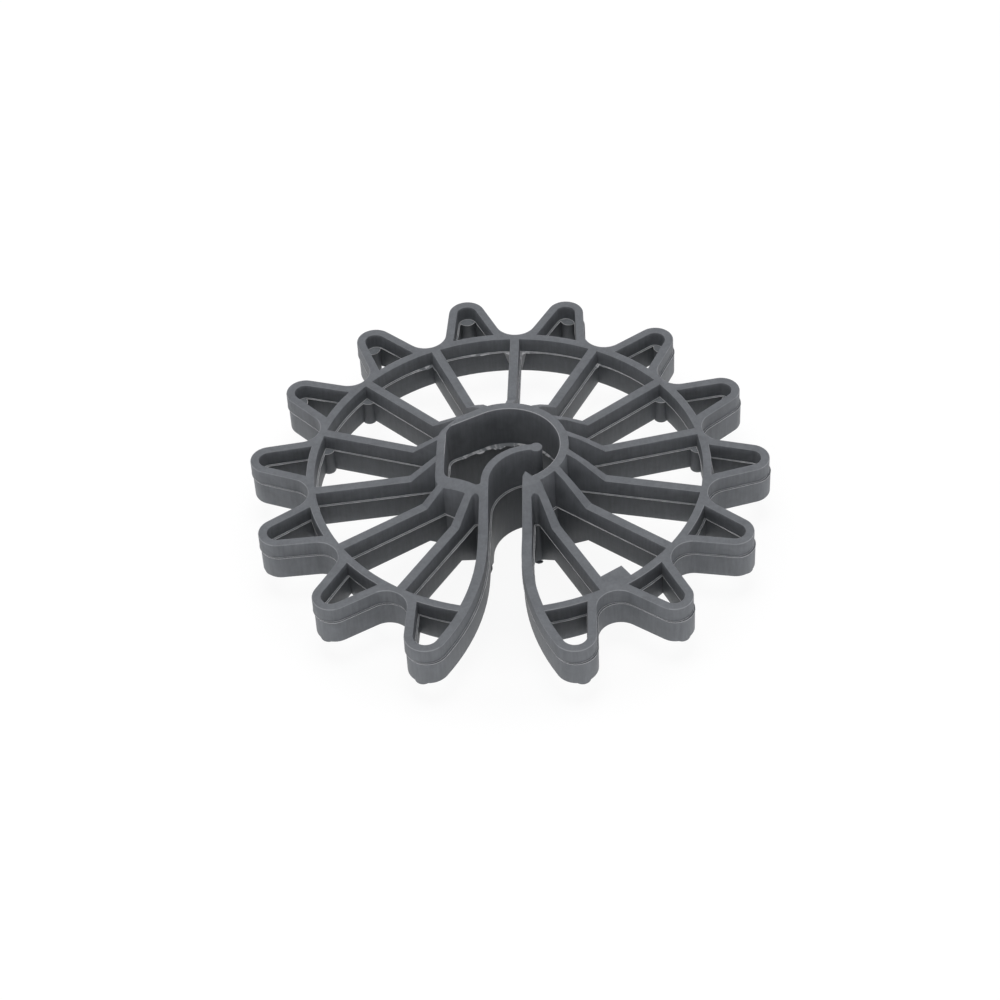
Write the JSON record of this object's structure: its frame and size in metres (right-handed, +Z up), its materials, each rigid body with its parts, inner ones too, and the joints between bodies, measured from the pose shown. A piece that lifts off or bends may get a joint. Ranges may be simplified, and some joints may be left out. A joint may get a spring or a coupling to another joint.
{
  "type": "rebar wheel spacer",
  "caption": "Flat plastic wheel with hollow rounded teeth, spokes and a side slot with a latch tongue; it clips onto reinforcing bar and holds the bar off the formwork.",
  "frame": {"origin": "on the wheel's axis, at the lower end of the hub, on which the wheel lies", "axes": "+Z up along the wheel's axis, the side with the gate tab on top; +Y towards the back spoke, away from the slot; +X across the slot, away from the tongue's root"},
  "size_m": [0.1101, 0.1069, 0.0221],
  "materials": {
    "grey_plastic": "satin recycled plastic"
  },
  "bodies": {
    "root": {"wheel_spacer": "grey_plastic"}
  },
  "joints": []
}
